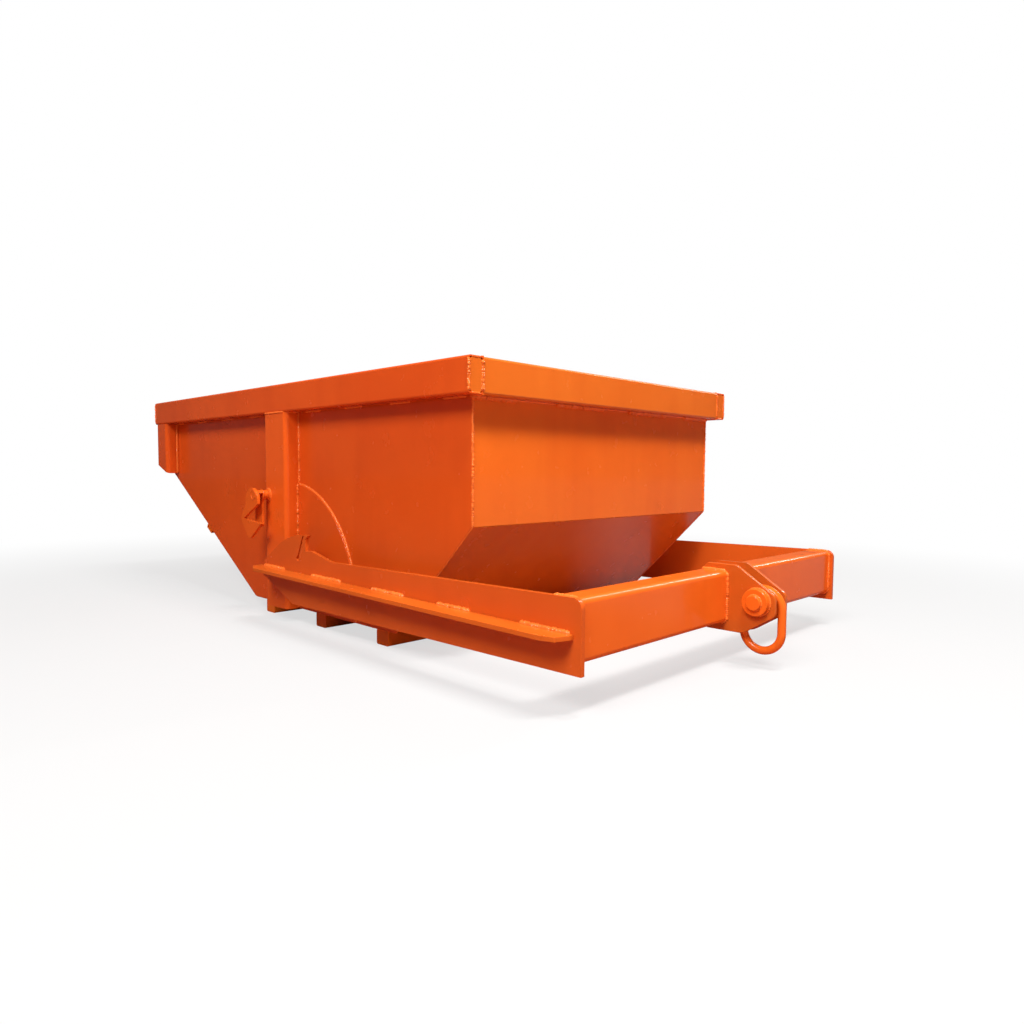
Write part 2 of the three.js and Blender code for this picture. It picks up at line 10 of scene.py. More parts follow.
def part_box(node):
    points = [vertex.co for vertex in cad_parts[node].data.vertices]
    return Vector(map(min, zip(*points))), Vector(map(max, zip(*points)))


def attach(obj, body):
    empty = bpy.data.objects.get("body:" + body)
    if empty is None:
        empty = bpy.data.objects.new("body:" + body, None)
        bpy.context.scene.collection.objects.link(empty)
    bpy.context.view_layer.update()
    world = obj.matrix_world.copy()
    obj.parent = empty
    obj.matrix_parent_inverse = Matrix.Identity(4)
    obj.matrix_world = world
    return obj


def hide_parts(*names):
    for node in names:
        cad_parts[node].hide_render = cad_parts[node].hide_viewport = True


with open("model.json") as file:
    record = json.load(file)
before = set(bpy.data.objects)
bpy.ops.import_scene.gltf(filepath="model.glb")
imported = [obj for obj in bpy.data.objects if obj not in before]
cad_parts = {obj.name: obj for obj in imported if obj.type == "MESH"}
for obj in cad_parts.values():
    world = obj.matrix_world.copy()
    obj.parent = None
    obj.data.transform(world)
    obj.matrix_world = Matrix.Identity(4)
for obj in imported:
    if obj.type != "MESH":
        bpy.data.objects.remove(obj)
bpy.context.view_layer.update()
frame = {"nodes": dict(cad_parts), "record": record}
nodes = frame["nodes"]
bodies = frame["record"]["behaviour"]["bodies"]
nodeBody = {name: body for body, names in bodies.items() for name in names}
nodeSlot = {part["node"]: part["material_slot"] for part in frame["record"]["subparts"]}
print("frame loaded:", len(nodes), "nodes")

# Lengths are in millimetres, x from the front face of the rim, as a fitter would tape them.
hull = {
    "originX": 1659.5,  # from the front face of the rim to the middle of the overall length
    "rimRear": 2640, "rimOut": 800, "rimTube": 65, "rimTop": 1024, "rimUnder": 904,
    "sideFace": 734.7, "sideInner": 728.7, "skinFront": 17, "skinRear": 2584,
    "baseFront": 1057, "baseRear": 2167, "baseUnder": 58.3, "slopeTop": 674, "slopeRearTop": 476,
    "plateTop": 903.7,  # the plates end just below the rim
    "pivotX": 1458, "pivotZ": 232, "latchX": 1326, "latchZ": 549,
}
rimIn = hull["rimOut"] - hull["rimTube"]


def place(x, y, z):
    return Vector(((x - hull["originX"]) / 1000, y / 1000, z / 1000))


def hexToLinear(code):
    channels = [int(code[i:i + 2], 16) / 255 for i in (1, 3, 5)]
    return [c / 12.92 if c <= 0.04045 else ((c + 0.055) / 1.055) ** 2.4 for c in channels] + [1.0]


def addNode(tree, kind, settings=None, inputs=None):
    node = tree.nodes.new("ShaderNode" + kind)
    for name, value in (settings or {}).items():
        setattr(node, name, value)
    for socket, value in (inputs or {}).items():
        if isinstance(value, bpy.types.NodeSocket):
            tree.links.new(value, node.inputs[socket])
        else:
            node.inputs[socket].default_value = value
    return node


# Gloss alkyd enamel, sprayed over primed steel: an even orange with a wet look, slightly cloudy
# where the coat is thicker, and with the fine dimples that spraying leaves.
enamel = {
    "hopper_paint": {"bright": "#E46D1D", "deep": "#DC6217", "run": "#CA4E0F"},
    # The copy for the side faces is the hopper's paint made darker and redder: painted shade.
    "side_shade_paint": {"bright": "#DC5819", "deep": "#D34F15", "run": "#C34310"},
    "rim_paint": {"bright": "#D96E21", "deep": "#D1641A", "run": "#C45413"},
    "yoke_paint": {"bright": "#EA6B1E", "deep": "#E06018", "run": "#D05010"},
    # The arm, lug, bar and post copies are the same paint toned redder and mostly darker: painted
    # shade, set to how light falls on each.
    "arm_shade_paint": {"bright": "#D45D1E", "deep": "#CB5519", "run": "#BC4A13"},
    "lug_shade_paint": {"bright": "#C85D1E", "deep": "#C05619", "run": "#B24A13"},
    "bar_shade_paint": {"bright": "#D5641E", "deep": "#CD5C18", "run": "#C05013"},
    "post_shade_paint": {"bright": "#E8621C", "deep": "#E05A18", "run": "#D04C11"},
    "latch_paint": {"bright": "#E6671F", "deep": "#DA5918", "run": "#CA4B11"},
    # A lighter copy for the weld beads: painted highlight, as the beads catch the light.
    "bead_highlight_paint": {"bright": "#F47B33", "deep": "#EC6C26", "run": "#DE5C1A"},
}
coat = {
    "cloudMetres": 0.55, "cloudFrom": 0.3, "cloudTo": 0.72,
    "runsPerMetre": (7.0, 7.0, 1.1),  # thin vertical veils of a thicker coat, long in z
    "runFrom": 0.5, "runTo": 0.78, "runShare": 0.3,
    "roughness": 0.24, "smoother": 0.06, "duller": 0.08, "hazeMm": 70,
    "sagMm": 160, "sagStrength": 0.12, "sagMetres": 0.004,  # slow waves left by rolling and welding
    "dimpleMm": 9,  # real dimples are 2 to 4 mm across, too fine to show from here
    "dimpleStrength": 0.06, "dimpleMetres": 0.0008,
    "ior": 1.5, "specular": 0.25, "gloss": 0.3, "glossRoughness": 0.06,
}


def perMetre(millimetres):
    return 1000 / millimetres


def makeEnamel(paintName):
    look = enamel[paintName]
    material = bpy.data.materials.new("sprayed_enamel_" + paintName)
    material.use_nodes = True
    tree = material.node_tree
    shader = tree.nodes["Principled BSDF"]
    spot = addNode(tree, "TexCoord").outputs["Object"]
    cloud = addNode(tree, "TexNoise", inputs={
        "Vector": spot, "Scale": 1 / coat["cloudMetres"], "Detail": 3.0, "Roughness": 0.55})
    tone = addNode(tree, "ValToRGB", inputs={"Fac": cloud.outputs["Fac"]})
    tone.color_ramp.elements[0].position = coat["cloudFrom"]
    tone.color_ramp.elements[0].color = hexToLinear(look["deep"])
    tone.color_ramp.elements[1].position = coat["cloudTo"]
    tone.color_ramp.elements[1].color = hexToLinear(look["bright"])
    drawn = addNode(tree, "Mapping", inputs={"Vector": spot, "Scale": coat["runsPerMetre"]})
    run = addNode(tree, "TexNoise", inputs={
        "Vector": drawn.outputs["Vector"], "Scale": 1.0, "Detail": 2.0})
    runShare = addNode(tree, "MapRange", inputs={
        "Value": run.outputs["Fac"], "From Min": coat["runFrom"], "From Max": coat["runTo"],
        "To Min": 0.0, "To Max": coat["runShare"]})
    colour = addNode(tree, "Mix", {"data_type": "RGBA"}, {
        0: runShare.outputs["Result"], 6: tone.outputs["Color"], 7: hexToLinear(look["run"])})
    tree.links.new(colour.outputs[2], shader.inputs["Base Color"])
    haze = addNode(tree, "TexNoise", inputs={
        "Vector": spot, "Scale": perMetre(coat["hazeMm"]), "Detail": 3.0})
    sheen = addNode(tree, "MapRange", inputs={
        "Value": haze.outputs["Fac"], "To Min": coat["roughness"] - coat["smoother"],
        "To Max": coat["roughness"] + coat["duller"]})
    tree.links.new(sheen.outputs["Result"], shader.inputs["Roughness"])
    sag = addNode(tree, "TexNoise", inputs={
        "Vector": spot, "Scale": perMetre(coat["sagMm"]), "Detail": 1.0})
    slow = addNode(tree, "Bump", inputs={
        "Height": sag.outputs["Fac"], "Strength": coat["sagStrength"],
        "Distance": coat["sagMetres"]})
    dimples = addNode(tree, "TexNoise", inputs={
        "Vector": spot, "Scale": perMetre(coat["dimpleMm"]), "Detail": 1.0})
    fine = addNode(tree, "Bump", inputs={
        "Height": dimples.outputs["Fac"], "Strength": coat["dimpleStrength"],
        "Distance": coat["dimpleMetres"], "Normal": slow.outputs["Normal"]})
    tree.links.new(fine.outputs["Normal"], shader.inputs["Normal"])
    shader.inputs["IOR"].default_value = coat["ior"]
    shader.inputs["Specular IOR Level"].default_value = coat["specular"]
    shader.inputs["Coat Weight"].default_value = coat["gloss"]
    shader.inputs["Coat Roughness"].default_value = coat["glossRoughness"]
    return material


paints = {paintName: makeEnamel(paintName) for paintName in enamel}
print("enamel made:", len(paints), "coats")


def smoothFaces(bm):
    for face in bm.faces:
        face.smooth = True


def newPiece(name, bm, body, slotName, paintName=None):
    mesh = bpy.data.meshes.new(name)
    bm.to_mesh(mesh)
    bm.free()
    if "custom_normal" in mesh.attributes:  # the solid's own, which no longer fit
        mesh.attributes.remove(mesh.attributes["custom_normal"])
    mesh.materials.clear()
    mesh.materials.append(paints[paintName or slotName])
    piece = bpy.data.objects.new(name, mesh)
    bpy.context.scene.collection.objects.link(piece)
    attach(piece, body)
    return piece


# Steel edges after grinding and paint: a small round on every sharp edge.
edges = {
    "sharpDegrees": 28, "flatDegrees": 0.8, "mergeMm": 0.02,
    "roundMm": 1.6, "thinMm": 1.0, "thickMm": 3.0,
    "thin": ("rim_cap", "latch_keeper", "pivot_washer", "latch_shaft"),
    "thick": ("yoke_arm", "lug_plate"),  # flame-cut plate, ground by hand
}
# Painted shade: the side plates, front posts, doubler, side rims, side posts, arms, lugs and flat
# bars take redder, mostly darker copies of the one paint, set to how light falls on those faces.
shadePaints = {
    "side_plate": "side_shade_paint", "front_post": "side_shade_paint", "pivot_doubler": "side_shade_paint",
    "rim_side": "side_shade_paint", "side_post": "post_shade_paint", "yoke_arm": "arm_shade_paint",
    "lug_plate": "lug_shade_paint", "arm_flange": "bar_shade_paint",
}


def paintNode(name):
    bm = bmesh.new()
    bm.from_mesh(nodes[name].data)
    bmesh.ops.remove_doubles(bm, verts=bm.verts, dist=edges["mergeMm"] / 1000)
    bmesh.ops.dissolve_limit(
        bm, angle_limit=math.radians(edges["flatDegrees"]), verts=bm.verts, edges=bm.edges)
    limit = math.radians(edges["sharpDegrees"])
    sharp = [e for e in bm.edges if len(e.link_faces) == 2 and e.calc_face_angle(0) > limit]
    size = edges["roundMm"]
    if name.startswith(edges["thin"]):
        size = edges["thinMm"]
    elif name.startswith(edges["thick"]):
        size = edges["thickMm"]
    bmesh.ops.bevel(
        bm, geom=sharp, offset=size / 1000, segments=2, profile=0.5, affect="EDGES",
        clamp_overlap=True, material=-1)
    smoothFaces(bm)
    # Side, post, arm, lug and bar pieces take their painted-shade copy of the paint.
    paintName = next((paint for start, paint in shadePaints.items() if name.startswith(start)), None)
    piece = newPiece("painted_" + name, bm, nodeBody[name], nodeSlot[name], paintName)
    flat = piece.modifiers.new("flat faces stay flat", "WEIGHTED_NORMAL")
    flat.weight = 100
    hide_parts(name)


for name in nodes:
    if name != "lifting_ring":
        paintNode(name)
print("painted nodes:", len(nodes) - 1)

# Weld beads. A bead is a round cord of weld metal half sunk in the corner that it fills.
weld = {
    "stepMm": 2.4, "shortestMm": 6,
    "rippleMm": 7,  # real ripples are 2 to 3 mm apart, too fine to show from here
    "rippleShare": 0.1, "swellShare": 0.06, "wanderMm": 0.5,
    "endShare": 0.45, "endGrowth": 0.3,  # the bead is thinner at its ends
    "sectionDetail": 2,
}
beadLines = {}
dice = random.Random(7)


# size is the radius and rough its unevenness, stitch the length and pitch of a broken seam,
# and first where that seam starts
def bead(group, corners, size=4.5, rough=1.0, closed=False, stitch=None, first=0.0):
    points = [place(*corner) for corner in corners]
    if closed:
        points.append(points[0])
    lengths = [0.0]
    for a, b in zip(points, points[1:]):
        lengths.append(lengths[-1] + (b - a).length)
    total = lengths[-1]
    runs = [(0.0, total)]
    if stitch:
        length, pitch = stitch[0] / 1000, stitch[1] / 1000
        start = first / 1000
        runs = []
        while start < total:
            runs.append((max(start, 0.0), min(start + length, total)))
            start += pitch
    wander = weld["wanderMm"] / 1000 * rough
    swing = weld["swellShare"]
    for start, end in runs:
        if end - start < weld["shortestMm"] / 1000:
            continue
        count = max(4, round((end - start) / (weld["stepMm"] / 1000)))
        line = []
        for i in range(count + 1):
            s = start + (end - start) * i / count
            k = max(j for j in range(len(points) - 1) if lengths[j] <= s + 1e-9)
            share = (s - lengths[k]) / max(lengths[k + 1] - lengths[k], 1e-9)
            spot = points[k].lerp(points[k + 1], min(share, 1.0))
            spot = spot + Vector([dice.uniform(-wander, wander) for _ in range(3)])
            wave = math.sin(2 * math.pi * s * 1000 / weld["rippleMm"])
            ripple = 1 + rough * weld["rippleShare"] * wave
            swell = 1 + rough * dice.uniform(-swing, swing)
            taper = min(1.0, weld["endShare"] + weld["endGrowth"] * min(i, count - i))
            line.append((spot, size / 1000 * ripple * swell * (1.0 if closed else taper)))
        beadLines.setdefault(group, []).append((line, closed))


def makeBeads(group, body, slotName, paintName=None):
    curve = bpy.data.curves.new(group, "CURVE")
    curve.dimensions = "3D"
    curve.bevel_depth = 1.0
    curve.bevel_resolution = weld["sectionDetail"]
    curve.use_fill_caps = True
    for line, closed in beadLines[group]:
        points = line[:-1] if closed else line
        spline = curve.splines.new("POLY")
        spline.points.add(len(points) - 1)
        spline.use_cyclic_u = closed
        for point, (spot, radius) in zip(spline.points, points):
            point.co = (*spot, 1.0)
            point.radius = radius
    holder = bpy.data.objects.new(group + "_path", curve)
    bpy.context.scene.collection.objects.link(holder)
    bpy.context.view_layer.update()
    depsgraph = bpy.context.evaluated_depsgraph_get()
    mesh = bpy.data.meshes.new_from_object(holder.evaluated_get(depsgraph))
    bpy.data.objects.remove(holder)
    bm = bmesh.new()
    bm.from_mesh(mesh)
    bmesh.ops.recalc_face_normals(bm, faces=bm.faces)
    smoothFaces(bm)
    newPiece(group, bm, body, slotName, paintName)


def alongX(start, end, y, z):
    return [(start, y, z), (end, y, z)]


def alongY(x, start, end, z):
    return [(x, start, z), (x, end, z)]


def alongZ(x, y, start, end):
    return [(x, y, start), (x, y, end)]


def ringPath(x, y, z, radius, count=40):
    turns = [2 * math.pi * i / count for i in range(count)]
    return [(x + radius * math.cos(t), y, z + radius * math.sin(t)) for t in turns]


def arcPath(x, y, z, radius, start, end, count=40):
    turns = [math.radians(start + (end - start) * i / count) for i in range(count + 1)]
    return [(x + radius * math.cos(t), y, z + radius * math.sin(t)) for t in turns]


# Corners of the folded skin, on its outside and its inside, from the tipping edge to the rear.
skinCorners = [
    (hull["skinFront"], hull["plateTop"]), (hull["skinFront"], hull["slopeTop"]),
    (hull["baseFront"], hull["baseUnder"]), (hull["baseRear"], hull["baseUnder"]),
    (hull["skinRear"], hull["slopeRearTop"]), (hull["skinRear"], hull["plateTop"])]
skinInside = [
    (23, hull["plateTop"]), (23, 677.4), (1058.6, 64.3),
    (2164.5, 64.3), (2578, 478.5), (2578, hull["plateTop"])]
stitches = {  # length and pitch
    "rim": (120, 300), "topEdge": (90, 260), "arm": (188, 386), "skid": (80, 180),
}
post = {"front": 1289, "rear": 1479, "foot": 62, "corner": 14, "topEnd": 786}
frontPost = {"grooveX": 148, "grooveOut": 6, "foot": 634}  # beside the post's rounded corner
doubler = {"x": 1426, "z": 114, "radius": 487, "plate": 8, "top": 598}
sideSeam = {
    "front": 80, "rear": 2570, "topFront": 90, "topRear": 2550, "topZ": 1014,
    "skinStep": 1.5, "insideY": 728.4, "bossRadius": 49, "collarRadius": 27,
}


def weldHopperSide(side, sign):
    group, under = "hopper_welds_" + side, hull["rimUnder"]
    face, outer, inner = sign * hull["sideFace"], sign * hull["rimOut"], sign * rimIn
    # side plate below the rim, and its top edge against the rim's inner face
    bead(group, alongX(sideSeam["front"], post["front"], face, under),
         stitch=stitches["rim"], first=40)
    bead(group, alongX(post["rear"], sideSeam["rear"], face, under),
         stitch=stitches["rim"], first=60)
    bead(group, alongX(sideSeam["topFront"], sideSeam["topRear"], inner, sideSeam["topZ"]),
         size=4, stitch=stitches["topEdge"])
    # edge of the side plate round the folded skin, outside and inside
    seam = [(x, sign * (hull["sideInner"] + sideSeam["skinStep"]), z) for x, z in skinCorners]
    bead(group, seam[:3], size=3.2)
    bead(group, seam[2:5], size=3.2)
    bead(group, seam[4:], size=4.2, rough=2.2)
    inside = [(x, sign * sideSeam["insideY"], z) for x, z in skinInside]
    bead("inside_welds_" + side, inside, size=5)
    # posts
    onDoubler = sign * (rimIn + doubler["plate"])
    bead(group, alongZ(post["front"], face, post["foot"], under), size=4.6, rough=1.4)
    bead(group, alongZ(post["rear"], onDoubler, post["foot"], doubler["top"]), size=5.4, rough=2.4)
    bead(group, alongZ(post["rear"], face, doubler["top"], under), size=5.4, rough=2.4)
    groove = sign * (hull["sideFace"] + frontPost["grooveOut"])
    bead(group, alongZ(frontPost["grooveX"], groove, frontPost["foot"], under), size=8.5)
    bead(group, alongX(post["front"] + post["corner"], post["rear"] - post["corner"], outer, under),
         size=4)
    for x in (post["front"], post["rear"]):
        bead(group, alongY(x, inner, sign * post["topEnd"], under), size=3.5)
    # doubler's curved edge, from the base to the rear of the post
    low = math.degrees(math.asin((hull["baseUnder"] - doubler["z"]) / doubler["radius"]))
    high = math.degrees(math.acos((post["rear"] - doubler["x"]) / doubler["radius"]))
    curve = arcPath(doubler["x"], inner, doubler["z"], doubler["radius"], low, high)
    bead(group, curve, size=5.2, rough=1.6)
    boss = ringPath(hull["pivotX"], outer, hull["pivotZ"], sideSeam["bossRadius"])
    collar = ringPath(hull["latchX"], outer, hull["latchZ"], sideSeam["collarRadius"])
    bead(group, boss, closed=True)
    bead(group, collar, size=3.2, closed=True)


# The ends of the side tubes are capped flush, and each cap is welded all round.
rimCorner = {
    "cap": 2.5, "sunk": 4.5, "jointOut": 1, "ends": 9, "capEdge": 3.5, "capEnds": 11, "upright": 4,
}


def weldRimCorners(side, sign):
    group, top, under = "rim_welds_" + side, hull["rimTop"], hull["rimUnder"]
    inner, outer = sign * rimIn, sign * hull["rimOut"]
    low, high = under + rimCorner["ends"], top - rimCorner["ends"]
    short = sign * rimCorner["capEnds"]
    for x, inward in ((hull["rimRear"], -1), (0, 1)):
        capX = x + inward * rimCorner["cap"]
        wall = x + inward * hull["rimTube"]
        bead(group, alongZ(capX, outer - sign * rimCorner["cap"], low, high), size=5, rough=2.4)
        joint = sign * (rimIn + rimCorner["jointOut"])
        bead(group, alongZ(x + inward * rimCorner["sunk"], joint, low, high), size=7, rough=2.0)
        for z in (under + rimCorner["capEdge"], top - rimCorner["capEdge"]):
            bead(group, alongY(capX, inner + short, outer - short, z), size=3.2)
        bead(group, alongX(x, wall, inner, top), size=3.2, rough=1.6)
        bead(group, alongX(x, wall, inner, under), size=3.6, rough=1.6)
        bead(group, alongZ(wall, inner, under + rimCorner["upright"], top - rimCorner["upright"]),
             size=4.2)


arm = {"inner": 837.7, "outer": 853, "hubRadius": 48}
bar = {
    "front": 1366, "rear": 3119, "topFront": 247.6, "topRear": 230.6, "thickness": 15,
    "spans": [(1391, 1566), (1782, 1991), (2192, 2378), (2552, 2709), (2921, 3107)],
}
beam = {"x": 3079, "z": 236, "halfWidth": 50, "halfHeight": 90, "corner": 14}
lug = {
    "liftX": 3238, "faces": (45, 31), "gripFront": 4,
    "bossY": 45.3, "bossRadius": 45.5, "pinY": 67.3, "pinRadius": 26,
}


def weldYokeSide(side, sign):
    group = "yoke_welds_" + side
    armOut, armIn = sign * arm["outer"], sign * arm["inner"]
    # flat bar on the arm, which falls a little to the rear
    barTop = [(bar["front"], armOut, bar["topFront"]), (bar["rear"], armOut, bar["topRear"])]
    barLow = [(x, y, z - bar["thickness"]) for x, y, z in barTop]
    fall = (bar["topRear"] - bar["topFront"]) / (bar["rear"] - bar["front"])
    for span in bar["spans"]:
        line = [(x, armOut, bar["topFront"] + fall * (x - bar["front"])) for x in span]
        bead(group, line, size=8.5, rough=1.6)
    bead(group, barLow, size=5, stitch=stitches["arm"], first=208)
    bead(group, [barTop[0], barLow[0]])
    # end of the beam on the arm, and the hub round the pivot pin
    w, h, r = beam["halfWidth"], beam["halfHeight"], beam["corner"]
    outline = [(w, -h + r), (w, h - r), (w - r, h), (r - w, h),
               (-w, h - r), (-w, r - h), (r - w, -h), (w - r, -h)]
    bead(group, [(beam["x"] + x, armIn, beam["z"] + z) for x, z in outline],
         size=6.5, rough=1.6, closed=True)
    bead(group, ringPath(hull["pivotX"], armIn, hull["pivotZ"], arm["hubRadius"]), closed=True)
    # lug plate round the beam, its boss and the lifting pin
    grip = [(lug["gripFront"] - w, h), (w - r, h), (w, h - r),
            (w, r - h), (w - r, -h), (lug["gripFront"] - w, -h)]
    for y in lug["faces"]:
        bead(group, [(beam["x"] + x, sign * y, beam["z"] + z) for x, z in grip], size=6, rough=1.5)
    bead(group, ringPath(lug["liftX"], sign * lug["bossY"], hull["pivotZ"], lug["bossRadius"]),
         size=3.6, closed=True)
    bead(group, ringPath(lug["liftX"], sign * lug["pinY"], hull["pivotZ"], lug["pinRadius"]),
         size=3.0, closed=True)


latch = {"shaftRadius": 20.5, "rings": ((857.5, 3.4), (870.5, 2.2), (832, 3))}  # y, bead size


def weldLatch(side, sign):
    for y, size in latch["rings"]:
        path = ringPath(hull["latchX"], sign * y, hull["latchZ"], latch["shaftRadius"])
        bead("latch_welds_" + side, path, size=size, closed=True)


for side, sign in (("left", 1), ("right", -1)):
    weldHopperSide(side, sign)
    weldRimCorners(side, sign)
    weldYokeSide(side, sign)
    weldLatch(side, sign)
    # The outside beads take the lighter copy of the paint: painted highlight.
    makeBeads("hopper_welds_" + side, "hopper", "hopper_paint", "bead_highlight_paint")
    makeBeads("inside_welds_" + side, "hopper", "hopper_paint")
    makeBeads("rim_welds_" + side, "hopper", "rim_paint", "bead_highlight_paint")
    makeBeads("yoke_welds_" + side, "yoke", "yoke_paint", "bead_highlight_paint")
    makeBeads("latch_welds_" + side, "latch_" + side, "latch_paint")

rimSeam = {
    "rearX": 2584.5, "rearHalf": 722, "half": 700,
    "rearSpans": [(-735, -531), (-323, -45), (121, 393), (538, 735)],
    "inside": ((65, 2), (2576, 1)),  # x and depth below the rim of the front and rear seams
}


def weldRimEnds():
    group, under, half = "rim_stitches", hull["rimUnder"], rimSeam["half"]
    bead(group, alongY(rimSeam["rearX"], -rimSeam["rearHalf"], rimSeam["rearHalf"], under), size=4)
    for span in rimSeam["rearSpans"]:
        bead(group, alongY(rimSeam["rearX"], *span, under), size=11.5, rough=1.5)
    bead(group, alongY(hull["skinFront"], -half, half, under), size=4, stitch=stitches["rim"])
    for x, depth in rimSeam["inside"]:
        bead(group, alongY(x, -half, half, under - depth), size=4, stitch=stitches["topEdge"])
    # These beads take the lighter copy of the paint too: painted highlight.
    makeBeads(group, "hopper", "rim_paint", "bead_highlight_paint")


base = {
    "skids": (1207, 1647, 2087), "skidHalf": 37.5, "skidTop": 58, "half": 730,
    "stiffenerShare": 0.485, "stiffenerHalf": 30, "foldHalf": 724,
}


def weldBase():
    group, half = "base_welds", base["half"]
    for x in base["skids"]:
        for edge in (-base["skidHalf"], base["skidHalf"]):
            bead(group, alongY(x + edge, -half, half, base["skidTop"]),
                 size=4, stitch=stitches["skid"], first=10)
    run, rise = hull["skinFront"] - hull["baseFront"], hull["slopeTop"] - hull["baseUnder"]
    slope = math.atan2(rise, -run)
    for edge in (-base["stiffenerHalf"], base["stiffenerHalf"]):
        x = hull["baseFront"] + run * base["stiffenerShare"] - edge * math.cos(slope)
        z = hull["baseUnder"] + rise * base["stiffenerShare"] + edge * math.sin(slope)
        bead(group, alongY(x, -half, half, z), size=3.6, stitch=stitches["skid"], first=30)
    for x, z in skinInside[1:5]:
        bead("fold_welds", alongY(x, -base["foldHalf"], base["foldHalf"], z), size=3.0, rough=0.5)
    makeBeads(group, "hopper", "hopper_paint")
    makeBeads("fold_welds", "hopper", "hopper_paint")


weldRimEnds()
weldBase()
print("weld beads:", sum(len(lines) for lines in beadLines.values()))

# The ends of the skid tubes are closed by plates that stand just inside them.
skidPlate = {"wall": 5.3, "thick": 5, "inset": 0.6, "round": 1}


def makeSkidPlate(name, side, sign):
    low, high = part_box(name)
    wall, thick, inset, edge = (skidPlate[k] / 1000 for k in ("wall", "thick", "inset", "round"))
    y = (high.y if sign > 0 else low.y) - sign * (inset + thick / 2)
    size = (high.x - low.x - 2 * wall, thick, high.z - low.z - 2 * wall)
    middle = Vector(((low.x + high.x) / 2, y, (low.z + high.z) / 2))
    bm = bmesh.new()
    bmesh.ops.create_cube(
        bm, size=1.0, matrix=Matrix.Translation(middle) @ Matrix.Diagonal((*size, 1.0)))
    bmesh.ops.bevel(
        bm, geom=bm.edges[:], offset=edge, segments=2, profile=0.5, affect="EDGES", material=-1)
    newPiece(f"{name}_plate_{side}", bm, "hopper", "hopper_paint")


for name in ("skid_front", "skid_middle", "skid_rear"):
    for side, sign in (("left", 1), ("right", -1)):
        makeSkidPlate(name, side, sign)
print("skid end plates made")

# Lifting ring: round bar bent to an oblong and welded shut, in the yoke's coat.
ring = {"width": 162, "height": 238, "barRadius": 14, "steps": 48, "sides": 24, "mergeMm": 0.05}


def makeRing():
    low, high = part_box("lifting_ring")
    middle = (low + high) / 2
    bend = (ring["width"] / 2 - ring["barRadius"]) / 1000
    straight = (ring["height"] - ring["width"]) / 2000
    bm = bmesh.new()
    bmesh.ops.create_circle(
        bm, segments=ring["sides"], radius=ring["barRadius"] / 1000,
        matrix=Matrix.Translation(middle + Vector((bend, 0, straight))))
    loop = bm.edges[:]
    # a half turn over the top and a run down, then the same below and up again
    for height in (straight, -straight):
        turned = bmesh.ops.spin(
            bm, geom=loop, cent=middle + Vector((0, 0, height)), axis=(0, -1, 0), angle=math.pi,
            steps=ring["steps"], use_merge=False)
        loop = [g for g in turned["geom_last"] if isinstance(g, bmesh.types.BMEdge)]
        drawn = bmesh.ops.extrude_edge_only(bm, edges=loop)["geom"]
        loop = [g for g in drawn if isinstance(g, bmesh.types.BMEdge) and len(g.link_faces) == 1]
        ends = [g for g in drawn if isinstance(g, bmesh.types.BMVert)]
        bmesh.ops.translate(bm, verts=ends, vec=(0, 0, -2 * height))
    bmesh.ops.remove_doubles(bm, verts=bm.verts, dist=ring["mergeMm"] / 1000)
    bmesh.ops.recalc_face_normals(bm, faces=bm.faces)
    smoothFaces(bm)
    piece = newPiece(
        "painted_lifting_ring", bm, nodeBody["lifting_ring"], nodeSlot["lifting_ring"])
    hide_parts("lifting_ring")


makeRing()
print("lifting ring made")

# Studio: white paper to the camera. What the object sees of it is darker, so that its underside
# stays in shade, and the sky is tinted by the orange light that the faces throw at each other.
studio = {
    "floorMetres": 80, "paper": "#BDBDBC", "bouncePaper": "#AC7A67", "glossPaper": "#3A3A3A",
    "paperRoughness": 0.9, "paperSpecular": 0.2,
    "glowNear": 0.66, "fadeFrom": 1.6, "fadeTo": 5.0,  # the shadow fades out with distance
    "floorGloss": 0.34, "glossFrom": 0.3, "glossTo": 0.7,  # mirrored from the far side alone
    "skyLight": 0.12, "skyGloss": 0.03, "skyTint": (1.0, 0.64, 0.52, 1.0),
}
white = (1, 1, 1, 1)


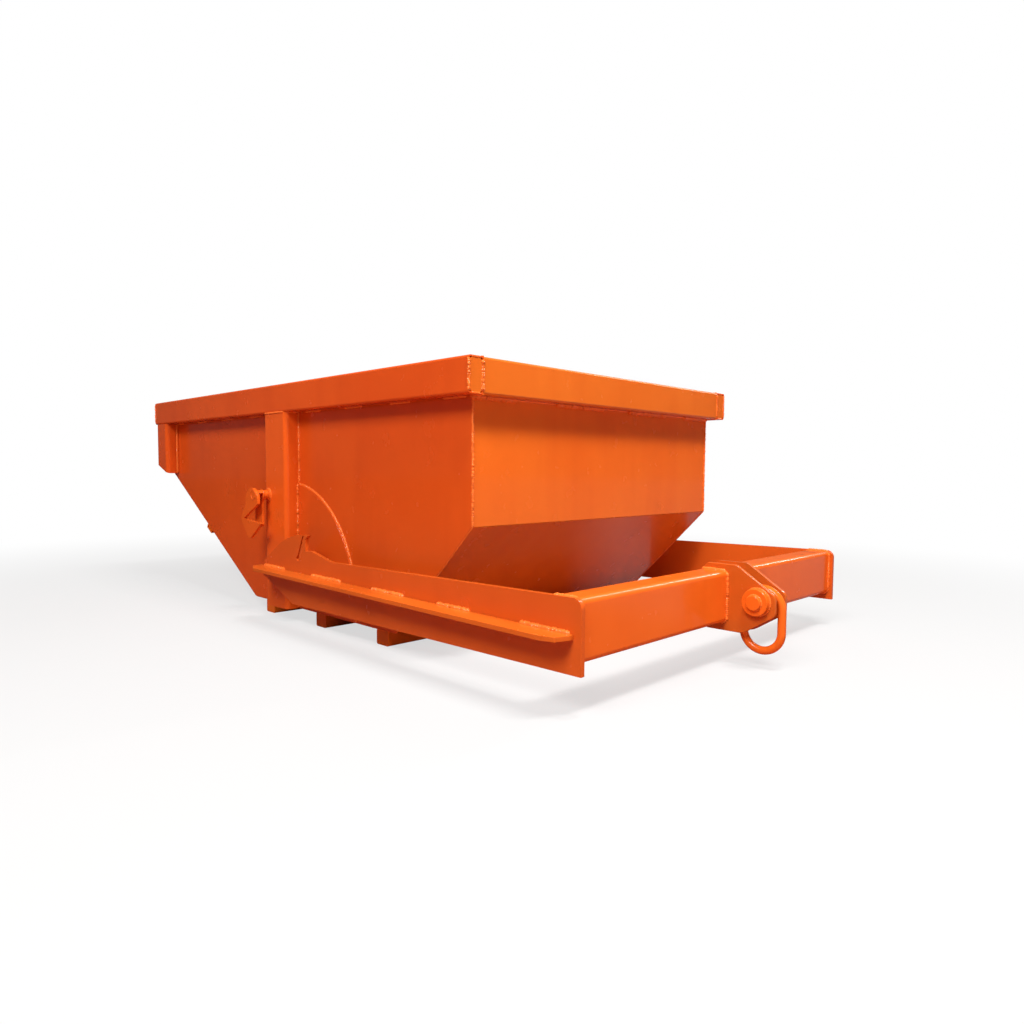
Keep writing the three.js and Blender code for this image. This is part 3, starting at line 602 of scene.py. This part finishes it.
def makeFloor():
    bm = bmesh.new()
    bmesh.ops.create_grid(bm, x_segments=1, y_segments=1, size=studio["floorMetres"] / 2)
    mesh = bpy.data.meshes.new("studio_floor")
    bm.to_mesh(mesh)
    bm.free()
    floor = bpy.data.objects.new("studio_floor", mesh)
    bpy.context.scene.collection.objects.link(floor)
    material = bpy.data.materials.new("white_studio_paper")
    material.use_nodes = True
    tree = material.node_tree
    paper = tree.nodes["Principled BSDF"]
    path = addNode(tree, "LightPath")
    dim = addNode(tree, "Mix", {"data_type": "RGBA"}, {
        0: path.outputs["Is Glossy Ray"], 6: hexToLinear(studio["bouncePaper"]),
        7: hexToLinear(studio["glossPaper"])})
    tint = addNode(tree, "Mix", {"data_type": "RGBA"}, {
        0: path.outputs["Is Camera Ray"], 6: dim.outputs[2], 7: hexToLinear(studio["paper"])})
    tree.links.new(tint.outputs[2], paper.inputs["Base Color"])
    paper.inputs["Roughness"].default_value = studio["paperRoughness"]
    paper.inputs["Specular IOR Level"].default_value = studio["paperSpecular"]
    spot = addNode(tree, "TexCoord").outputs["Object"]
    reach = addNode(tree, "VectorMath", {"operation": "LENGTH"}, {0: spot})
    fade = addNode(tree, "MapRange", {"interpolation_type": "SMOOTHSTEP"}, {
        "Value": reach.outputs["Value"], "From Min": studio["fadeFrom"],
        "From Max": studio["fadeTo"], "To Min": studio["glowNear"], "To Max": 1.0})
    axes = addNode(tree, "SeparateXYZ", inputs={0: spot})
    farSide = addNode(tree, "MapRange", inputs={
        "Value": axes.outputs["Y"], "From Min": studio["glossFrom"],
        "From Max": studio["glossTo"], "To Min": 0.0, "To Max": studio["floorGloss"]})
    gloss = addNode(tree, "Math", {"operation": "MULTIPLY"}, {
        0: path.outputs["Is Glossy Ray"], 1: farSide.outputs["Result"]})
    seen = addNode(tree, "Math", {"operation": "MAXIMUM"}, {
        0: path.outputs["Is Camera Ray"], 1: gloss.outputs["Value"]})
    share = addNode(tree, "Math", {"operation": "MULTIPLY"}, {
        0: fade.outputs["Result"], 1: seen.outputs["Value"]})
    glow = addNode(tree, "Emission", inputs={"Color": white, "Strength": 1.0})
    both = addNode(tree, "MixShader", inputs={
        0: share.outputs["Value"], 1: paper.outputs["BSDF"], 2: glow.outputs["Emission"]})
    tree.links.new(both.outputs["Shader"], tree.nodes["Material Output"].inputs["Surface"])
    mesh.materials.append(material)


def makeSky():
    world = bpy.data.worlds.new("studio_sky")
    bpy.context.scene.world = world
    world.use_nodes = True
    tree = world.node_tree
    tree.nodes.clear()
    path = addNode(tree, "LightPath")
    gloss = addNode(tree, "Math", {"operation": "MULTIPLY"}, {
        0: path.outputs["Is Glossy Ray"], 1: studio["skyGloss"]})
    through = addNode(tree, "Math", {"operation": "MAXIMUM"}, {
        0: path.outputs["Is Transmission Ray"], 1: gloss.outputs["Value"]})
    seen = addNode(tree, "Math", {"operation": "MAXIMUM"}, {
        0: path.outputs["Is Camera Ray"], 1: through.outputs["Value"]})
    soft = addNode(tree, "Background", inputs={
        "Color": studio["skyTint"], "Strength": studio["skyLight"]})
    bright = addNode(tree, "Background", inputs={"Color": white, "Strength": 1.0})
    both = addNode(tree, "MixShader", inputs={
        0: seen.outputs["Value"], 1: soft.outputs["Background"], 2: bright.outputs["Background"]})
    out = addNode(tree, "OutputWorld")
    tree.links.new(both.outputs["Shader"], out.inputs["Surface"])


lamps = {  # the ones that aren't mirrored leave no veil or white patch on the paint
    "overhead": {"spot": (2.86, -0.75, 5.2), "aim": (0.7, 0.0, 0.4), "size": (2.4, 0.6),
                 "watts": 378, "mirrored": False},
    "rear_fill": {"spot": (6.2, -1.2, 0.8), "aim": (0.9, 0.0, 0.4), "size": (2.6, 1.2),
                  "watts": 42, "mirrored": False},
    "side_fill": {"spot": (2.4, -6.2, 6.3), "aim": (0.0, 0.0, 0.4), "size": (4.0, 3.0),
                  "watts": 605, "mirrored": True},
    "far_fill": {"spot": (-3.0, 5.0, 3.2), "aim": (0.0, 0.0, 0.5), "size": (3.0, 2.4),
                 "watts": 60, "mirrored": False},
    "far_strip": {"spot": (2.5, 7.0, 4.9), "aim": (1.45, 0.0, 0.3), "size": (0.4, 3.8),
                  "watts": 120, "mirrored": True},
}


def makeLamp(name, lamp):
    light = bpy.data.lights.new(name, "AREA")
    light.shape = "RECTANGLE"
    light.size, light.size_y = lamp["size"]
    light.energy = lamp["watts"]
    holder = bpy.data.objects.new(name, light)
    bpy.context.scene.collection.objects.link(holder)
    holder.location = lamp["spot"]
    holder.visible_glossy = lamp["mirrored"]
    ahead = Vector(lamp["aim"]) - Vector(lamp["spot"])
    holder.rotation_euler = ahead.to_track_quat("-Z", "Y").to_euler()


# Camera fitted to the photograph: place in metres, turns in degrees, the rest in pixels.
view = {
    "spot": (2.6826, -2.3283, 0.6682), "yaw": 44.57, "pitch": 3.46, "roll": 0.4,
    "focalPixels": 727.97, "middle": (512.58, 513.13), "pixels": 1024, "sensorMm": 36,
}


def makeCamera():
    yaw, pitch, roll = (math.radians(view[k]) for k in ("yaw", "pitch", "roll"))
    ahead = Vector((-math.sin(yaw) * math.cos(pitch), math.cos(yaw) * math.cos(pitch),
                    -math.sin(pitch)))
    level = Vector((math.cos(yaw), math.sin(yaw), 0))
    up = level.cross(ahead)
    right = math.cos(roll) * level + math.sin(roll) * up
    up = math.cos(roll) * up - math.sin(roll) * level
    pixels = view["pixels"]
    camera = bpy.data.cameras.new("photo_camera")
    camera.sensor_width = view["sensorMm"]
    camera.lens = view["focalPixels"] * view["sensorMm"] / pixels
    camera.shift_x = (pixels / 2 - view["middle"][0]) / pixels
    camera.shift_y = (view["middle"][1] - pixels / 2) / pixels
    holder = bpy.data.objects.new("photo_camera", camera)
    bpy.context.scene.collection.objects.link(holder)
    turn = Matrix((right, up, -ahead)).transposed().to_4x4()
    holder.matrix_world = Matrix.Translation(view["spot"]) @ turn
    bpy.context.scene.camera = holder


makeFloor()
makeSky()
for name, lamp in lamps.items():
    makeLamp(name, lamp)
makeCamera()
bpy.context.scene.view_settings.view_transform = "Standard"
print("studio made:", len(lamps), "lamps")
